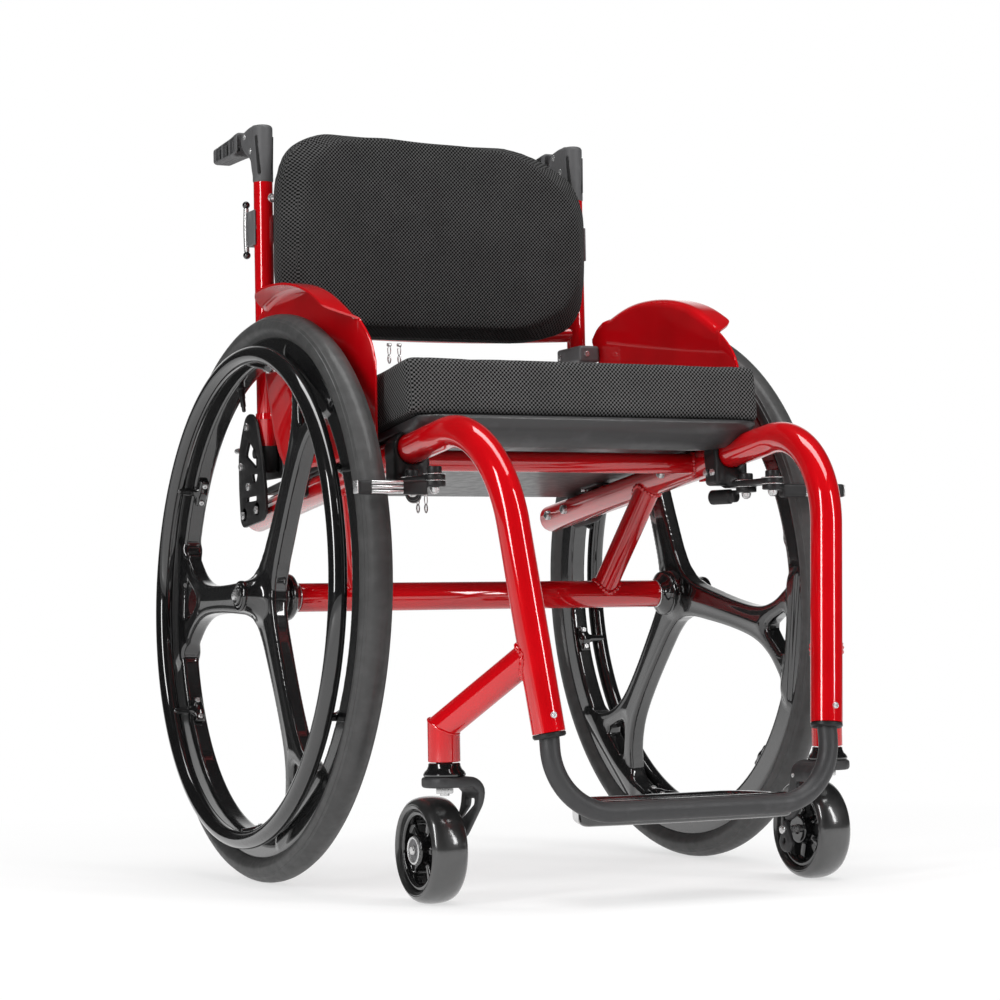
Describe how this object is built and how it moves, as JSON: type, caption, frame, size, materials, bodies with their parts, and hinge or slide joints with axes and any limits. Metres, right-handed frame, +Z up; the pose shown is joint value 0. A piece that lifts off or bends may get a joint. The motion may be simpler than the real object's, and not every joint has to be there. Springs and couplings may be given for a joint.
{
  "type": "wheelchair",
  "caption": "Rigid-frame ultralight wheelchair with composite spoked wheels, push rims, swivel casters, cushioned seat and back, side guards and sliding footrest.",
  "frame": {"origin": "floor level under the middle of the chair's length and width", "axes": "+Z up, -Y the way the sitter faces, +X the sitter's left"},
  "size_m": [0.6034, 0.7824, 0.8505],
  "materials": {
    "frame_red": "gloss",
    "tyre_rubber": "matt",
    "wheel_carbon": "gloss",
    "handrim_black": "gloss",
    "hub_black": "gloss",
    "fitting_black": "satin",
    "steel": "polished",
    "handle_black": "satin",
    "grip_rubber": "matt",
    "foot_grey": "satin",
    "pan_grey": "satin",
    "mesh_cloth": "open mesh weave",
    "caster_rubber": "satin"
  },
  "bodies": {
    "chair": {"camber_tube": "frame_red", "front_crossbar": "frame_red", "seat_pan": "pan_grey", "seat_cushion": "mesh_cloth", "side_frame_right": "frame_red", "side_frame_left": "frame_red", "riser_right": "frame_red", "riser_left": "frame_red", "caster_strut_right": "frame_red", "caster_strut_left": "frame_red", "caster_barrel_right": "frame_red", "caster_barrel_left": "frame_red", "side_guard_right": "frame_red", "side_guard_left": "frame_red", "leg_bushing_right": "fitting_black", "leg_bushing_left": "fitting_black", "axle_pin_right": "steel", "axle_pin_left": "steel", "hinge_plate_right": "fitting_black", "hinge_plate_left": "fitting_black", "brake_mount_right": "fitting_black", "brake_mount_left": "fitting_black"},
    "footrest": {"footrest_tube": "foot_grey", "footplate": "foot_grey"},
    "backrest": {"back_bar": "frame_red", "back_shell": "fitting_black", "back_cushion": "mesh_cloth", "back_cane_right": "frame_red", "back_cane_left": "frame_red", "back_mount_right": "fitting_black", "back_mount_left": "fitting_black", "cane_clamp_right": "fitting_black", "cane_clamp_left": "fitting_black", "handle_sleeve_right": "handle_black", "handle_sleeve_left": "handle_black"},
    "rear_wheel_right": {"wheel_right": "wheel_carbon", "tyre_right": "tyre_rubber", "handrim_right": "handrim_black"},
    "rear_wheel_left": {"wheel_left": "wheel_carbon", "tyre_left": "tyre_rubber", "handrim_left": "handrim_black"},
    "axle_button_right": {"axle_button_right": "steel"},
    "axle_button_left": {"axle_button_left": "steel"},
    "caster_swivel_right": {"caster_fork_right": "fitting_black", "caster_stem_right": "fitting_black", "caster_axle_right": "steel"},
    "caster_swivel_left": {"caster_fork_left": "fitting_black", "caster_stem_left": "fitting_black", "caster_axle_left": "steel"},
    "caster_wheel_right": {"caster_tyre_right": "caster_rubber", "caster_hub_right": "hub_black"},
    "caster_wheel_left": {"caster_tyre_left": "caster_rubber", "caster_hub_left": "hub_black"},
    "push_grip_right": {"push_grip_right": "grip_rubber"},
    "push_grip_left": {"push_grip_left": "grip_rubber"},
    "brake_lever_right": {"brake_lever_right": "fitting_black"},
    "brake_lever_left": {"brake_lever_left": "fitting_black"},
    "brake_bar_right": {"brake_bar_right": "steel"},
    "brake_bar_left": {"brake_bar_left": "steel"}
  },
  "joints": [
    {"name": "footrest_slide", "type": "slide", "parent": "chair", "child": "footrest", "axis": [0, -0.1188, -0.9929], "range_m": [0, 0.03]},
    {"name": "backrest_fold", "type": "hinge", "parent": "chair", "child": "backrest", "pos_m": [0, 0.2252, 0.47], "axis": [1, 0, 0], "range_deg": [0, 35]},
    {"name": "rear_wheel_spin_right", "type": "hinge", "parent": "chair", "child": "rear_wheel_right", "pos_m": [-0.2553, 0.0862, 0.30482], "axis": [-0.9994, 0, 0.0344], "continuous": true},
    {"name": "rear_wheel_spin_left", "type": "hinge", "parent": "chair", "child": "rear_wheel_left", "pos_m": [0.2553, 0.0862, 0.30482], "axis": [0.9994, 0, 0.0344], "continuous": true},
    {"name": "axle_button_press_right", "type": "slide", "parent": "chair", "child": "axle_button_right", "axis": [0.9994, 0, -0.0344], "range_m": [0, 0.002], "stiffness_N_per_m": 1500},
    {"name": "axle_button_press_left", "type": "slide", "parent": "chair", "child": "axle_button_left", "axis": [-0.9994, 0, -0.0344], "range_m": [0, 0.002], "stiffness_N_per_m": 1500},
    {"name": "caster_swivel_right", "type": "hinge", "parent": "chair", "child": "caster_swivel_right", "pos_m": [-0.218, -0.2748, 0.138], "axis": [0, 0, 1], "continuous": true},
    {"name": "caster_swivel_left", "type": "hinge", "parent": "chair", "child": "caster_swivel_left", "pos_m": [0.218, -0.2748, 0.138], "axis": [0, 0, 1], "continuous": true},
    {"name": "caster_spin_right", "type": "hinge", "parent": "caster_swivel_right", "child": "caster_wheel_right", "pos_m": [-0.218, -0.2408, 0.052], "axis": [1, 0, 0], "continuous": true},
    {"name": "caster_spin_left", "type": "hinge", "parent": "caster_swivel_left", "child": "caster_wheel_left", "pos_m": [0.218, -0.2408, 0.052], "axis": [1, 0, 0], "continuous": true},
    {"name": "push_grip_fold_right", "type": "hinge", "parent": "backrest", "child": "push_grip_right", "pos_m": [-0.2, 0.2532, 0.837], "axis": [-1, 0, 0], "range_deg": [0, 80]},
    {"name": "push_grip_fold_left", "type": "hinge", "parent": "backrest", "child": "push_grip_left", "pos_m": [0.2, 0.2532, 0.837], "axis": [-1, 0, 0], "range_deg": [0, 80]},
    {"name": "brake_bar_swing_right", "type": "hinge", "parent": "chair", "child": "brake_bar_right", "pos_m": [-0.196, -0.2168, 0.4092], "axis": [0, 0, 1], "range_deg": [-7, 75]},
    {"name": "brake_bar_swing_left", "type": "hinge", "parent": "chair", "child": "brake_bar_left", "pos_m": [0.196, -0.2168, 0.4092], "axis": [0, 0, -1], "range_deg": [-7, 75]},
    {"name": "brake_lever_swing_right", "type": "hinge", "parent": "chair", "child": "brake_lever_right", "pos_m": [-0.196, -0.1638, 0.4092], "axis": [0, 0, -1], "range_deg": [-5, 46]},
    {"name": "brake_lever_swing_left", "type": "hinge", "parent": "chair", "child": "brake_lever_left", "pos_m": [0.196, -0.1638, 0.4092], "axis": [0, 0, 1], "range_deg": [-5, 46]}
  ],
  "couplings": [
    {"joint": "brake_lever_swing_right", "follows": "brake_bar_swing_right", "ratio": 0.6},
    {"joint": "brake_lever_swing_left", "follows": "brake_bar_swing_left", "ratio": 0.6}
  ]
}
